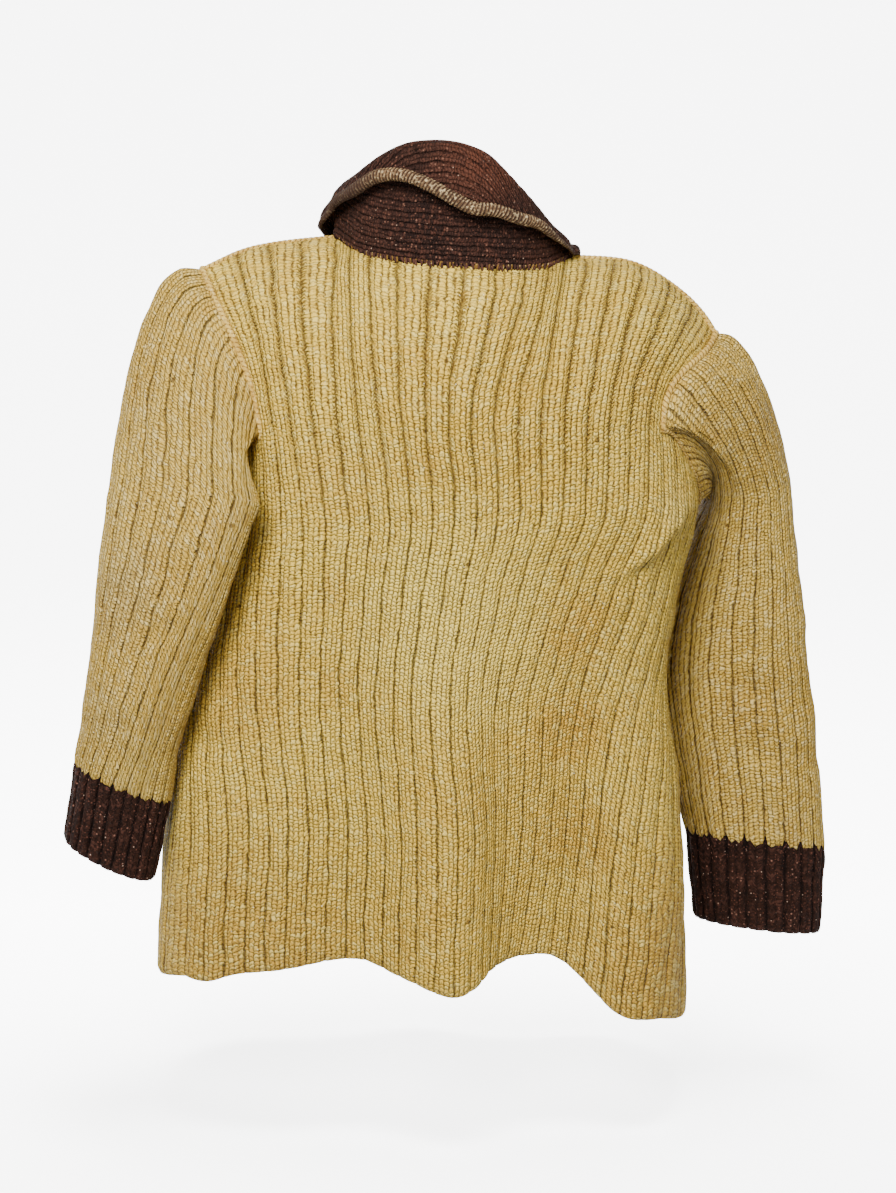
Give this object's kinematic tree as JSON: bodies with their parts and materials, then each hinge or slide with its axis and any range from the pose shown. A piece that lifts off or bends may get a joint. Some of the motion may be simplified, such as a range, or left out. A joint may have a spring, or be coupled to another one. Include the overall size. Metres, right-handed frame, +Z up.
{
  "type": "sweater",
  "caption": "Filled-out heavy rib-knit sweater with puffed sleeves, dark rib cuffs and a tall turned-over collar, hollow and open at neck, hem and cuffs",
  "frame": {"origin": "middle of the neck opening, at the height of the shoulder line, where a wearer's neck and shoulders hold the garment", "axes": "+Z up, -Y out of the garment's back, +X towards the wearer's right, which is the right of the picture"},
  "size_m": [0.6974, 0.2923, 0.7881],
  "materials": {
    "body_knit": "mustard cream rib knit, slightly heathered, matt",
    "trim_knit": "dark brown tweed rib knit with pale flecks, matt"
  },
  "bodies": {
    "root": {"back": "body_knit", "front": "body_knit", "sleeve_left": "body_knit", "sleeve_right": "body_knit", "cuff_left": "trim_knit", "cuff_right": "trim_knit", "collar": "trim_knit"}
  },
  "joints": []
}
